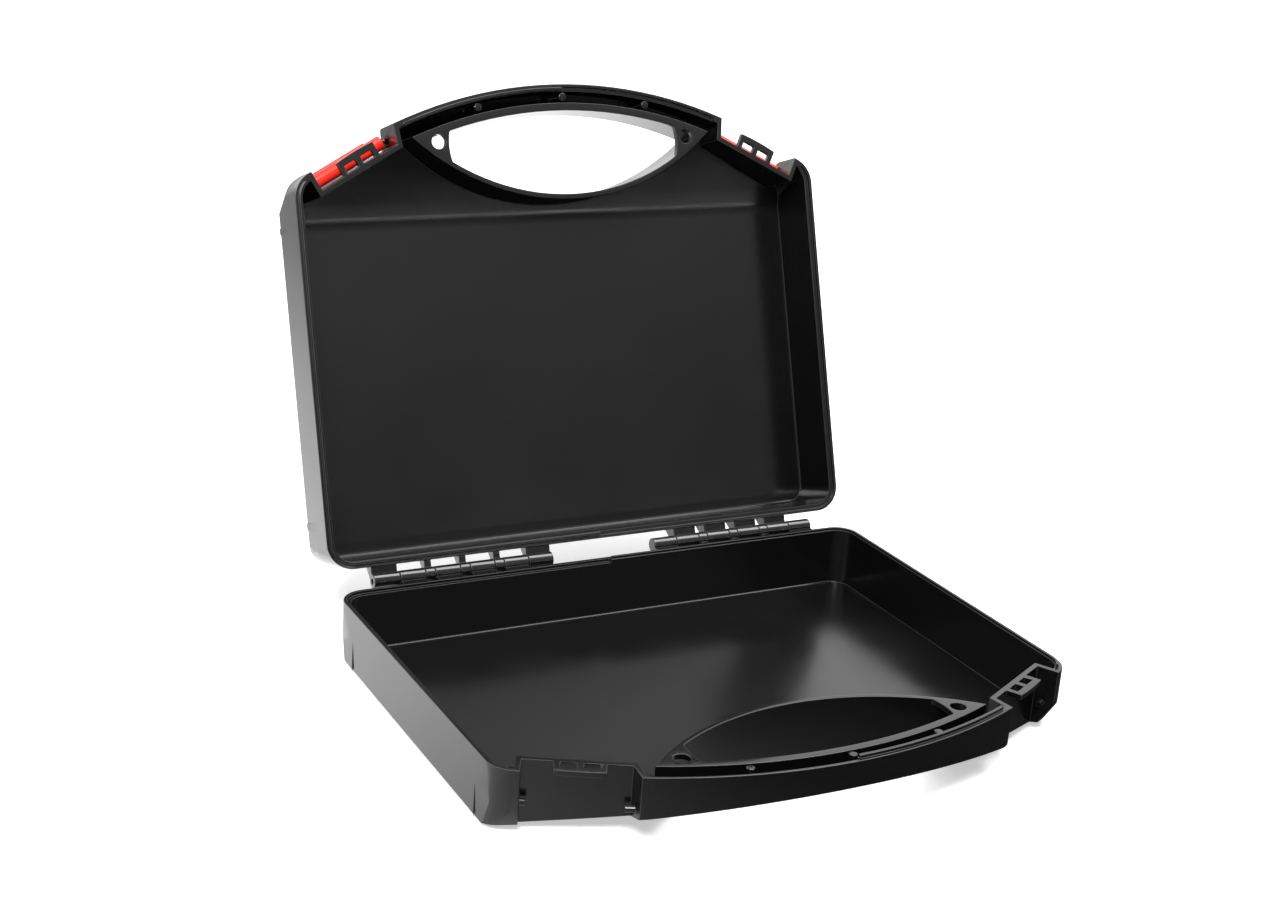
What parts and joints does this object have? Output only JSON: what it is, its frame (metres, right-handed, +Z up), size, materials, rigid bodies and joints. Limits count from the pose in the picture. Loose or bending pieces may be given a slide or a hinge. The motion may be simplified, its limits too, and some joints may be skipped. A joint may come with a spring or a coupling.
{
  "type": "hard tool case",
  "caption": "Open hard plastic tool case: base and lid shells on hinge rods, with a finger handle and two clip latches.",
  "frame": {"origin": "on the floor, at the middle of the base's flat underside", "axes": "+Z up, +Y towards the hinge side, -Y towards the handle, X across the width"},
  "size_m": [0.256, 0.3118, 0.2274],
  "materials": {
    "shell": "satin",
    "latch": "gloss",
    "rod": "satin"
  },
  "bodies": {
    "base": {"base_shell": "shell", "right_hinge_rod": "rod"},
    "lid": {"lid_shell": "shell", "left_hinge_rod": "rod"},
    "left_latch": {"left_latch": "latch"},
    "right_latch": {"right_latch": "latch"}
  },
  "joints": [
    {"name": "lid_hinge", "type": "hinge", "parent": "base", "child": "lid", "pos_m": [0, 0.0802, 0.0285], "axis": [1, 0, 0], "range_deg": [0, 109]},
    {"name": "left_latch_hinge", "type": "hinge", "parent": "lid", "child": "left_latch", "pos_m": [-0.09963, 0.15294, 0.19275], "axis": [0.8854, 0.1513, 0.4395], "range_deg": [0, 165]},
    {"name": "right_latch_hinge", "type": "hinge", "parent": "lid", "child": "right_latch", "pos_m": [0.09963, 0.15294, 0.19275], "axis": [0.8854, -0.1513, -0.4395], "range_deg": [0, 165]}
  ]
}
